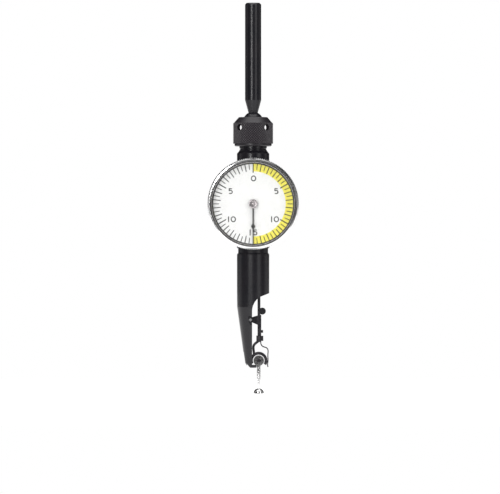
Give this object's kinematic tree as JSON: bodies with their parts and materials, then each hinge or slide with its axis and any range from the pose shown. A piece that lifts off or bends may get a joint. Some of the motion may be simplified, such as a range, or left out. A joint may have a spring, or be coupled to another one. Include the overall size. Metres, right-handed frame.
{
  "type": "dial test indicator",
  "caption": "Lever-type dial test indicator: round dial with turning bezel on a tube body, clamped ball swivel with straight shank, and a ball contact under a cut-away nose.",
  "frame": {"origin": "on the shank's axis, half way along its parallel part", "axes": "+Z along the body towards the shank's free end; the dial faces -Y; +X is right when the dial is read"},
  "size_m": [0.027, 0.0175, 0.1168],
  "materials": {
    "black_oxide": "black oxide, lightly oiled",
    "dark_steel": "blued, fine grain",
    "plain_steel": "turned",
    "spring_steel": "tempered blue",
    "polished_steel": "polished",
    "chrome": "satin chrome",
    "brass": "turned brass",
    "ruby": "polished jewel",
    "clear_crystal": "clear, polished",
    "white_enamel": "white with printed divisions",
    "hand_black": "black paint"
  },
  "bodies": {
    "shank": {"swivel_shank": "black_oxide"},
    "swivel_seat": {"ball_seat": "plain_steel", "seat_spring": "spring_steel"},
    "body": {"body_tube": "black_oxide", "nose_barrel": "black_oxide", "fulcrum_pin": "plain_steel", "dial_case": "black_oxide", "case_screws": "plain_steel", "plate_pillars": "brass", "movement_plate": "brass", "plate_screws": "plain_steel", "bearing_jewels": "ruby", "train_bridge": "brass", "hairspring": "spring_steel"},
    "clamp_ring": {"clamp_ring": "brass"},
    "swivel_nut": {"swivel_nut": "black_oxide"},
    "bezel": {"bezel": "chrome", "bezel_spring": "spring_steel", "crystal": "clear_crystal", "dial_face": "white_enamel"},
    "wheel": {"train_wheel": "brass", "train_pinion": "plain_steel"},
    "hand": {"hand": "hand_black", "hand_pinion": "plain_steel"},
    "lever": {"lever_bar": "dark_steel", "lever_sector": "plain_steel", "lever_fork": "dark_steel", "leaf_spring": "dark_steel", "spring_clip": "black_oxide", "leaf_screw": "black_oxide"},
    "knob": {"reversing_knob": "black_oxide"},
    "contact": {"contact_hub": "polished_steel", "hub_screw": "dark_steel", "contact_stem": "polished_steel", "contact_ball": "polished_steel"}
  },
  "joints": [
    {"name": "swivel_tilt", "type": "hinge", "parent": "shank", "child": "swivel_seat", "pos_m": [0, 0, -0.02075], "axis": [0, 1, 0], "range_deg": [-35, 35]},
    {"name": "swivel_spin", "type": "hinge", "parent": "swivel_seat", "child": "body", "pos_m": [0, 0, -0.02075], "axis": [0, 0, 1], "continuous": true},
    {"name": "clamp_lift", "type": "slide", "parent": "body", "child": "clamp_ring", "axis": [0, 0, 1], "range_m": [0, 0.00035]},
    {"name": "nut_turn", "type": "hinge", "parent": "clamp_ring", "child": "swivel_nut", "pos_m": [0, 0, -0.02075], "axis": [0, 0, 1], "range_deg": [0, 181]},
    {"name": "bezel_turn", "type": "hinge", "parent": "body", "child": "bezel", "pos_m": [0, 0, -0.04505], "axis": [0, 1, 0], "continuous": true},
    {"name": "lever_swing", "type": "hinge", "parent": "body", "child": "lever", "pos_m": [-0.0008, 0, -0.07917], "axis": [0, 1, 0], "range_deg": [-2, 2], "stiffness_Nm_per_rad": 0.1},
    {"name": "wheel_turn", "type": "hinge", "parent": "body", "child": "wheel", "pos_m": [0, 0, -0.05079], "axis": [0, 1, 0], "range_deg": [-50.5, 50.5]},
    {"name": "hand_turn", "type": "hinge", "parent": "body", "child": "hand", "pos_m": [0, 0, -0.04505], "axis": [0, 1, 0], "range_deg": [-363, 363]},
    {"name": "knob_turn", "type": "hinge", "parent": "lever", "child": "knob", "pos_m": [0.00272, 0, -0.07664], "axis": [0, 1, 0], "range_deg": [-90, 90]},
    {"name": "contact_swing", "type": "hinge", "parent": "lever", "child": "contact", "pos_m": [0.00165, 0, -0.09124], "axis": [0, 1, 0], "range_deg": [-105, 105]}
  ],
  "couplings": [
    {"joint": "nut_turn", "follows": "clamp_lift", "rad_per_m": 8976},
    {"joint": "wheel_turn", "follows": "lever_swing", "ratio": -25},
    {"joint": "hand_turn", "follows": "lever_swing", "ratio": 180}
  ]
}
